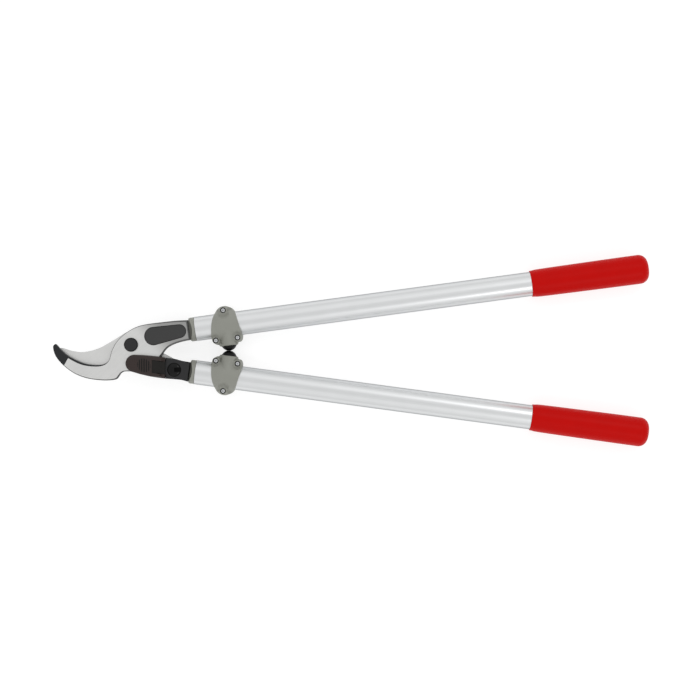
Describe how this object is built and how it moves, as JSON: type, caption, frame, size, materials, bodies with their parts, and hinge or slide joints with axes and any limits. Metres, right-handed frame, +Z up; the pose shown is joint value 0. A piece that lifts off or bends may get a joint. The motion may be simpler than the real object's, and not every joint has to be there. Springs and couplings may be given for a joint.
{
  "type": "bypass loppers",
  "caption": "Long-handled bypass loppers with a hooked steel head, a lever-driven curved blade, round metal tubes, stop clamps with rubber bumpers and red grips.",
  "frame": {"origin": "under the middle of the bounding box, on the surface that the closed loppers lie on", "axes": "+X from the cutting head to the grips, +Y towards the handle that carries the hook, +Z up through the thin direction, out of the face with the bolt head"},
  "size_m": [0.7981, 0.2568, 0.039],
  "materials": {
    "ground_steel": "ground and polished carbon steel",
    "black_steel": "blackened forged steel, satin",
    "bright_steel": "zinc plated",
    "bronze": "plain bronze",
    "aluminium_tube": "satin anodised",
    "grey_nylon": "moulded warm grey, satin",
    "dark_plastic": "moulded, dark brown-black, satin",
    "red_rubber": "smooth red vinyl, slightly glossy",
    "black_rubber": "matte"
  },
  "bodies": {
    "upper_handle_side": {"hook_plate": "ground_steel", "lever_pivot_screw": "black_steel", "upper_ferrule": "grey_nylon", "upper_tube": "aluminium_tube", "upper_grip": "red_rubber", "upper_bumper": "black_rubber", "upper_clamp_front": "grey_nylon", "upper_clamp_rear": "grey_nylon", "upper_clamp_screw_1": "bright_steel", "upper_clamp_screw_2": "bright_steel", "upper_clamp_screw_3": "bright_steel"},
    "blade_side": {"blade": "ground_steel", "pivot_bolt": "black_steel", "pivot_washer": "bright_steel", "pivot_nut": "bright_steel", "lock_plate": "bright_steel", "lock_screw": "black_steel"},
    "lower_handle_side": {"lever": "black_steel", "lever_bush": "bronze", "lever_cover": "dark_plastic", "drive_pin": "black_steel", "pin_clip": "bright_steel", "lower_ferrule": "grey_nylon", "lower_tube": "aluminium_tube", "lower_grip": "red_rubber", "lower_bumper": "black_rubber", "lower_clamp_front": "grey_nylon", "lower_clamp_rear": "grey_nylon", "lower_clamp_screw_1": "bright_steel", "lower_clamp_screw_2": "bright_steel", "lower_clamp_screw_3": "bright_steel"},
    "roller": {"drive_roller": "bright_steel"}
  },
  "joints": [
    {"name": "handle_opening", "type": "hinge", "parent": "upper_handle_side", "child": "lower_handle_side", "pos_m": [-0.28982, -0.01715, 0.0195], "axis": [0, 0, -1], "range_deg": [0, 64]},
    {"name": "blade_opening", "type": "hinge", "parent": "upper_handle_side", "child": "blade_side", "pos_m": [-0.29462, 0.00785, 0.0195], "axis": [0, 0, -1], "range_deg": [0, 45.5]},
    {"name": "roller_spin", "type": "hinge", "parent": "lower_handle_side", "child": "roller", "pos_m": [-0.23657, -0.02555, 0.0195], "axis": [0, 0, 1], "continuous": true}
  ],
  "couplings": [
    {"joint": "blade_opening", "follows": "handle_opening", "ratio": 0.71}
  ]
}
